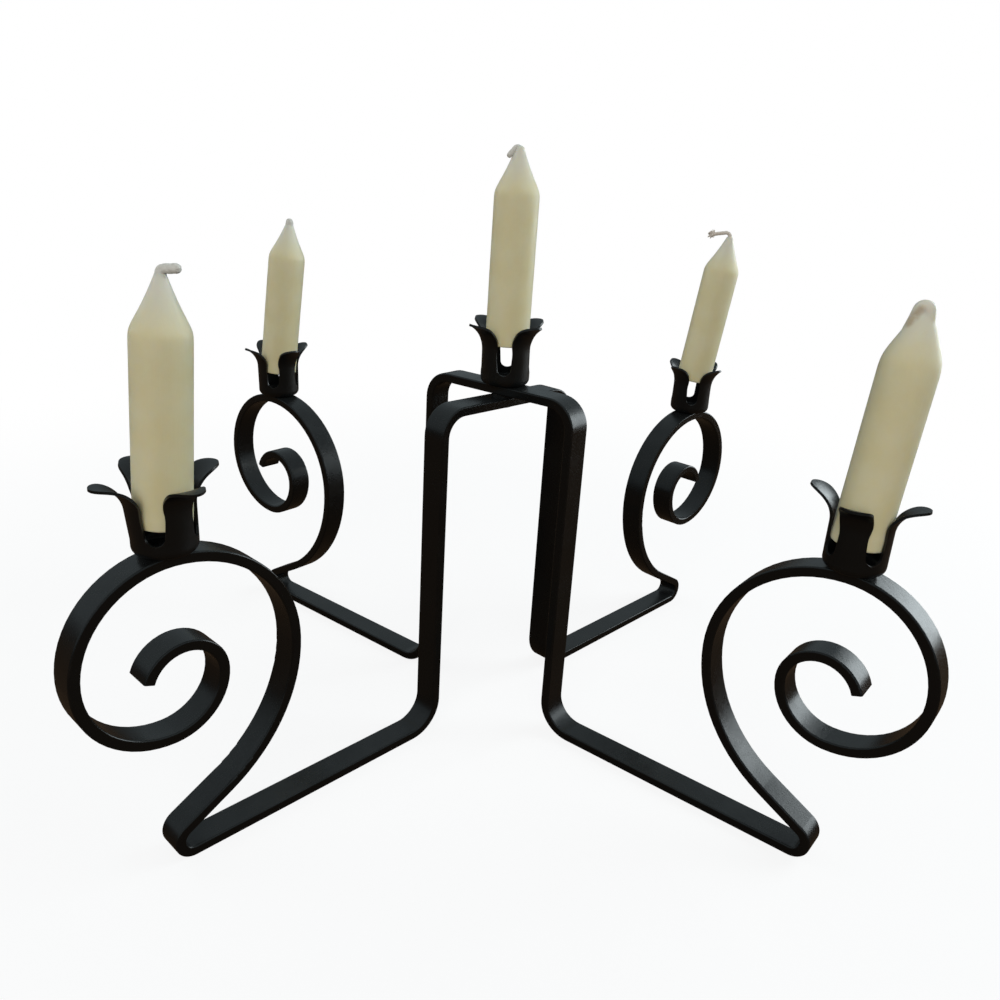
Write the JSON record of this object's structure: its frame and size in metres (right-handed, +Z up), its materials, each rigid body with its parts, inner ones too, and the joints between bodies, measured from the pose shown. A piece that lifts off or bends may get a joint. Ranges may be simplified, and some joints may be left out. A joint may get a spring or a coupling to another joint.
{
  "type": "candelabra",
  "caption": "Table candelabra of crossed flat-iron scroll bars that swivel on one rivet, with petalled cups holding lift-out pointed candles.",
  "frame": {"origin": "on the table under the crossing rivet", "axes": "+Z up, +X along the lower bar towards its rear right arm"},
  "size_m": [0.3392, 0.3386, 0.2223],
  "materials": {
    "iron": "satin black lacquer on flat iron and pressed sheet",
    "wax": "smooth ivory candle wax",
    "cotton": "waxed cotton wick"
  },
  "bodies": {
    "lower_frame": {"lower_bar": "iron", "pivot_washer": "iron", "cup_front_left": "iron", "rivet_front_left": "iron", "cup_rear_right": "iron", "rivet_rear_right": "iron"},
    "upper_frame": {"upper_bar": "iron", "cup_centre": "iron", "rivet_centre": "iron", "cup_front_right": "iron", "rivet_front_right": "iron", "cup_rear_left": "iron", "rivet_rear_left": "iron"},
    "candle_centre": {"candle_centre": "wax", "wick_centre": "cotton"},
    "candle_front_left": {"candle_front_left": "wax", "wick_front_left": "cotton"},
    "candle_front_right": {"candle_front_right": "wax", "wick_front_right": "cotton"},
    "candle_rear_left": {"candle_rear_left": "wax", "wick_rear_left": "cotton"},
    "candle_rear_right": {"candle_rear_right": "wax", "wick_rear_right": "cotton"}
  },
  "joints": [
    {"name": "bar_swivel", "type": "hinge", "parent": "lower_frame", "child": "upper_frame", "pos_m": [0, 0, 0.1327], "axis": [0, 0, 1], "range_deg": [-75, 65]},
    {"name": "candle_centre_lift", "type": "slide", "parent": "upper_frame", "child": "candle_centre", "axis": [0.0049, -0.0049, 1], "range_m": [0, 0.03]},
    {"name": "candle_front_left_lift", "type": "slide", "parent": "lower_frame", "child": "candle_front_left", "axis": [0.0469, -0.0469, 0.9978], "range_m": [0, 0.03]},
    {"name": "candle_front_right_lift", "type": "slide", "parent": "upper_frame", "child": "candle_front_right", "axis": [0.0493, -0.0493, 0.9976], "range_m": [0, 0.03]},
    {"name": "candle_rear_left_lift", "type": "slide", "parent": "upper_frame", "child": "candle_rear_left", "axis": [0.0739, -0.0739, 0.9945], "range_m": [0, 0.03]},
    {"name": "candle_rear_right_lift", "type": "slide", "parent": "lower_frame", "child": "candle_rear_right", "axis": [0.0837, -0.0837, 0.993], "range_m": [0, 0.03]}
  ]
}
